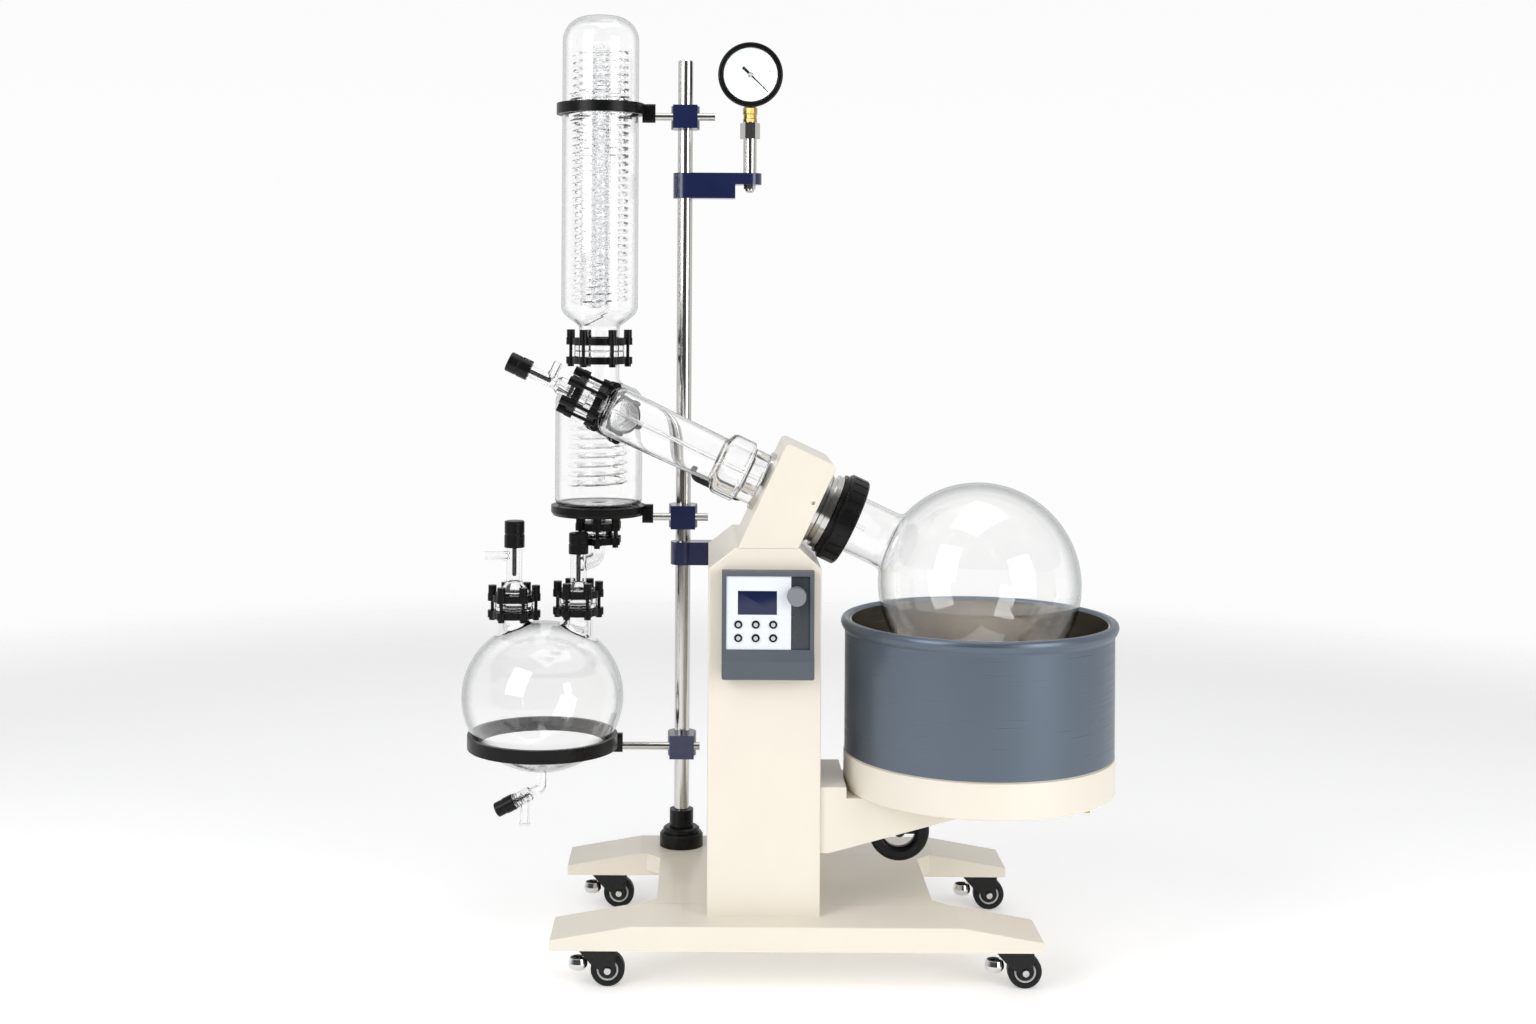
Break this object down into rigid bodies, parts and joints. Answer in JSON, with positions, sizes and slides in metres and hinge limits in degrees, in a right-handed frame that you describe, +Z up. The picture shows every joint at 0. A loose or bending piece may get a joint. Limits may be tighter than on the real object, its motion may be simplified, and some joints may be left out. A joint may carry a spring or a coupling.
{
  "type": "rotary evaporator",
  "caption": "Floor-standing rotary evaporator on casters: tilted glass flask over a lifting bath, drive column, glass condenser, receiving flask and vacuum gauge",
  "frame": {"origin": "on the floor, under the middle of the machine's bounding box", "axes": "+Z up, +X to the operator's right, +Y away from the operator"},
  "size_m": [1.1386, 0.6145, 1.647],
  "materials": {
    "cream_paint": "gloss",
    "slate_plastic": "satin",
    "bath_paint": "satin",
    "navy_paint": "gloss",
    "black_plastic": "satin",
    "grey_plastic": "matte",
    "white_plastic": "satin",
    "clear_glass": "clear",
    "steel": "brushed",
    "black_metal": "satin",
    "chrome": "polished",
    "brass": "satin",
    "black_rubber": "matte"
  },
  "bodies": {
    "stand": {"base_beams": "cream_paint", "base_deck": "cream_paint", "column_casing": "cream_paint", "rear_cover": "cream_paint", "head_housing": "cream_paint", "control_box": "slate_plastic", "panel_face": "white_plastic", "bearings_and_seals": "steel", "drive_belt": "black_rubber", "drive_motor": "black_metal", "vapour_duct": "clear_glass", "cooling_vessel": "clear_glass", "condenser": "clear_glass", "cooling_coils": "clear_glass", "valve_adapters": "clear_glass", "receiving_flask": "clear_glass", "joint_clamps": "black_plastic", "support_rings": "black_plastic", "stand_rods": "steel", "pole_clamps": "navy_paint", "pole_foot": "black_plastic", "gauge_stem": "steel", "gauge_case": "black_plastic", "drain_hose": "black_rubber", "lift_guides": "steel", "caster_plates": "black_metal"},
    "rotor": {"rotor_shaft": "steel", "flask_collar": "black_plastic", "evaporating_flask": "clear_glass"},
    "motor_rotor": {"motor_pulley": "steel"},
    "speed_knob_body": {"speed_knob": "grey_plastic"},
    "button_1_body": {"button_1": "black_plastic"},
    "button_2_body": {"button_2": "black_plastic"},
    "button_3_body": {"button_3": "black_plastic"},
    "button_4_body": {"button_4": "black_plastic"},
    "button_5_body": {"button_5": "black_plastic"},
    "button_6_body": {"button_6": "black_plastic"},
    "feed_valve_cap_body": {"feed_valve_cap": "black_plastic"},
    "vent_valve_cap_body": {"vent_valve_cap": "black_plastic"},
    "inlet_valve_cap_body": {"inlet_valve_cap": "black_plastic"},
    "drain_valve_knob_body": {"drain_valve_knob": "black_plastic"},
    "needle": {"gauge_needle": "black_metal"},
    "lift": {"lift_arm": "cream_paint", "bath_can": "bath_paint", "bath_tub": "steel", "bath_pan": "cream_paint", "bath_nipple": "brass"},
    "handwheel_body": {"handwheel": "black_plastic"},
    "front_left_caster": {"front_left_fork": "black_metal"},
    "front_left_roller": {"front_left_wheel": "black_rubber"},
    "front_left_brake": {"front_left_pedal": "chrome"},
    "front_right_caster": {"front_right_fork": "black_metal"},
    "front_right_roller": {"front_right_wheel": "black_rubber"},
    "front_right_brake": {"front_right_pedal": "chrome"},
    "rear_left_caster": {"rear_left_fork": "black_metal"},
    "rear_left_roller": {"rear_left_wheel": "black_rubber"},
    "rear_left_brake": {"rear_left_pedal": "chrome"},
    "rear_right_caster": {"rear_right_fork": "black_metal"},
    "rear_right_roller": {"rear_right_wheel": "black_rubber"},
    "rear_right_brake": {"rear_right_pedal": "chrome"}
  },
  "joints": [
    {"name": "rotor_turns", "type": "hinge", "parent": "stand", "child": "rotor", "pos_m": [0.02986, -0.08, 0.79219], "axis": [-0.9063, 0, 0.4226], "continuous": true},
    {"name": "motor_turns", "type": "hinge", "parent": "stand", "child": "motor_rotor", "pos_m": [-0.03354, -0.08, 0.65624], "axis": [-0.9063, 0, 0.4226], "continuous": true},
    {"name": "speed_knob_turns", "type": "hinge", "parent": "stand", "child": "speed_knob_body", "pos_m": [0.023, -0.204, 0.645], "axis": [0, -1, 0], "range_deg": [-135, 135]},
    {"name": "button_1_presses", "type": "slide", "parent": "stand", "child": "button_1_body", "axis": [0, 1, 0], "range_m": [0, 0.0015], "stiffness_N_per_m": 400},
    {"name": "button_2_presses", "type": "slide", "parent": "stand", "child": "button_2_body", "axis": [0, 1, 0], "range_m": [0, 0.0015], "stiffness_N_per_m": 400},
    {"name": "button_3_presses", "type": "slide", "parent": "stand", "child": "button_3_body", "axis": [0, 1, 0], "range_m": [0, 0.0015], "stiffness_N_per_m": 400},
    {"name": "button_4_presses", "type": "slide", "parent": "stand", "child": "button_4_body", "axis": [0, 1, 0], "range_m": [0, 0.0015], "stiffness_N_per_m": 400},
    {"name": "button_5_presses", "type": "slide", "parent": "stand", "child": "button_5_body", "axis": [0, 1, 0], "range_m": [0, 0.0015], "stiffness_N_per_m": 400},
    {"name": "button_6_presses", "type": "slide", "parent": "stand", "child": "button_6_body", "axis": [0, 1, 0], "range_m": [0, 0.0015], "stiffness_N_per_m": 400},
    {"name": "feed_valve_cap_turns", "type": "hinge", "parent": "stand", "child": "feed_valve_cap_body", "pos_m": [-0.44142, -0.08, 1.01195], "axis": [-0.9063, 0, 0.4226], "range_deg": [0, 90]},
    {"name": "vent_valve_cap_turns", "type": "hinge", "parent": "stand", "child": "vent_valve_cap_body", "pos_m": [-0.4731, 0.148, 0.7], "axis": [0, 0, 1], "range_deg": [0, 90]},
    {"name": "inlet_valve_cap_turns", "type": "hinge", "parent": "stand", "child": "inlet_valve_cap_body", "pos_m": [-0.3567, 0.148, 0.685], "axis": [0, 0, 1], "range_deg": [0, 90]},
    {"name": "drain_valve_knob_turns", "type": "hinge", "parent": "stand", "child": "drain_valve_knob_body", "pos_m": [-0.48723, 0.148, 0.20545], "axis": [-0.891, 0, -0.454], "range_deg": [0, 90]},
    {"name": "needle_sweeps", "type": "hinge", "parent": "stand", "child": "needle", "pos_m": [-0.048, 0.21, 1.543], "axis": [0, -1, 0], "range_deg": [0, 270]},
    {"name": "lift_slides", "type": "slide", "parent": "stand", "child": "lift", "axis": [0, 0, 1], "range_m": [-0.06, 0.08]},
    {"name": "handwheel_turns", "type": "hinge", "parent": "lift", "child": "handwheel_body", "pos_m": [0.204, -0.08, 0.231], "axis": [0, -1, 0], "range_deg": [-1900, 2500]},
    {"name": "front_left_swivels", "type": "hinge", "parent": "stand", "child": "front_left_caster", "pos_m": [-0.303, -0.176, 0.065], "axis": [0, 0, 1], "continuous": true},
    {"name": "front_left_rolls", "type": "hinge", "parent": "front_left_caster", "child": "front_left_roller", "pos_m": [-0.283, -0.176, 0.028], "axis": [0, 1, 0], "continuous": true},
    {"name": "front_left_brakes", "type": "hinge", "parent": "front_left_caster", "child": "front_left_brake", "pos_m": [-0.318, -0.176, 0.054], "axis": [0, -1, 0], "range_deg": [0, 8]},
    {"name": "front_right_swivels", "type": "hinge", "parent": "stand", "child": "front_right_caster", "pos_m": [0.382, -0.176, 0.065], "axis": [0, 0, 1], "continuous": true},
    {"name": "front_right_rolls", "type": "hinge", "parent": "front_right_caster", "child": "front_right_roller", "pos_m": [0.402, -0.176, 0.028], "axis": [0, 1, 0], "continuous": true},
    {"name": "front_right_brakes", "type": "hinge", "parent": "front_right_caster", "child": "front_right_brake", "pos_m": [0.367, -0.176, 0.054], "axis": [0, -1, 0], "range_deg": [0, 8]},
    {"name": "rear_left_swivels", "type": "hinge", "parent": "stand", "child": "rear_left_caster", "pos_m": [-0.303, 0.226, 0.065], "axis": [0, 0, 1], "continuous": true},
    {"name": "rear_left_rolls", "type": "hinge", "parent": "rear_left_caster", "child": "rear_left_roller", "pos_m": [-0.283, 0.226, 0.028], "axis": [0, 1, 0], "continuous": true},
    {"name": "rear_left_brakes", "type": "hinge", "parent": "rear_left_caster", "child": "rear_left_brake", "pos_m": [-0.318, 0.226, 0.054], "axis": [0, -1, 0], "range_deg": [0, 8]},
    {"name": "rear_right_swivels", "type": "hinge", "parent": "stand", "child": "rear_right_caster", "pos_m": [0.382, 0.226, 0.065], "axis": [0, 0, 1], "continuous": true},
    {"name": "rear_right_rolls", "type": "hinge", "parent": "rear_right_caster", "child": "rear_right_roller", "pos_m": [0.402, 0.226, 0.028], "axis": [0, 1, 0], "continuous": true},
    {"name": "rear_right_brakes", "type": "hinge", "parent": "rear_right_caster", "child": "rear_right_brake", "pos_m": [0.367, 0.226, 0.054], "axis": [0, -1, 0], "range_deg": [0, 8]}
  ],
  "couplings": [
    {"joint": "motor_turns", "follows": "rotor_turns", "ratio": 2.4},
    {"joint": "handwheel_turns", "follows": "lift_slides", "rad_per_m": 523.6}
  ]
}
